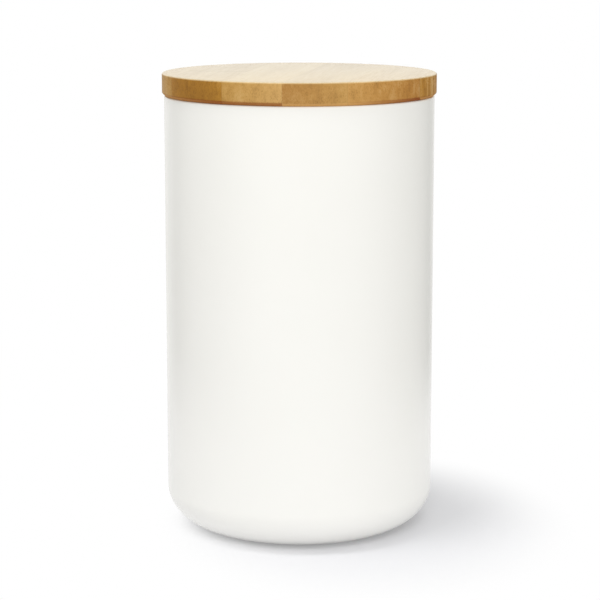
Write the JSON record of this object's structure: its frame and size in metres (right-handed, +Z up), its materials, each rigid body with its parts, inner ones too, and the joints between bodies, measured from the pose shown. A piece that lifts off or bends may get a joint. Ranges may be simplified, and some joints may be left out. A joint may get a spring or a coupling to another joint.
{
  "type": "food storage canister",
  "caption": "Round white ceramic canister with a flat lift-off bamboo lid; the lid's plug carries a lipped silicone ring that seals the mouth for dry food.",
  "frame": {"origin": "centre of the foot ring's lower face, on the jar's axis, where the canister stands", "axes": "+Z up along the jar's axis; the lid's staves run close to the Y axis, turned 10 degrees towards +X"},
  "size_m": [0.11, 0.11, 0.185],
  "materials": {
    "glazed_ceramic": "satin white glaze, bare biscuit on the foot ring",
    "bamboo": "satin oil over sanded bamboo",
    "silicone": "translucent matt silicone"
  },
  "bodies": {
    "jar": {"jar": "glazed_ceramic"},
    "seal": {"lid_seal": "silicone"},
    "lid": {"lid_stave_1": "bamboo", "lid_stave_2": "bamboo", "lid_stave_3": "bamboo", "lid_stave_4": "bamboo", "lid_stave_5": "bamboo", "lid_stave_6": "bamboo", "plug_stave_1": "bamboo", "plug_stave_2": "bamboo", "plug_stave_3": "bamboo", "plug_stave_4": "bamboo", "plug_stave_5": "bamboo"}
  },
  "joints": [
    {"name": "lid_lift", "type": "slide", "parent": "jar", "child": "seal", "axis": [0, 0, 1], "range_m": [0, 0.1]},
    {"name": "lid_turn", "type": "hinge", "parent": "seal", "child": "lid", "pos_m": [0, 0, 0.17], "axis": [0, 0, 1], "continuous": true}
  ]
}
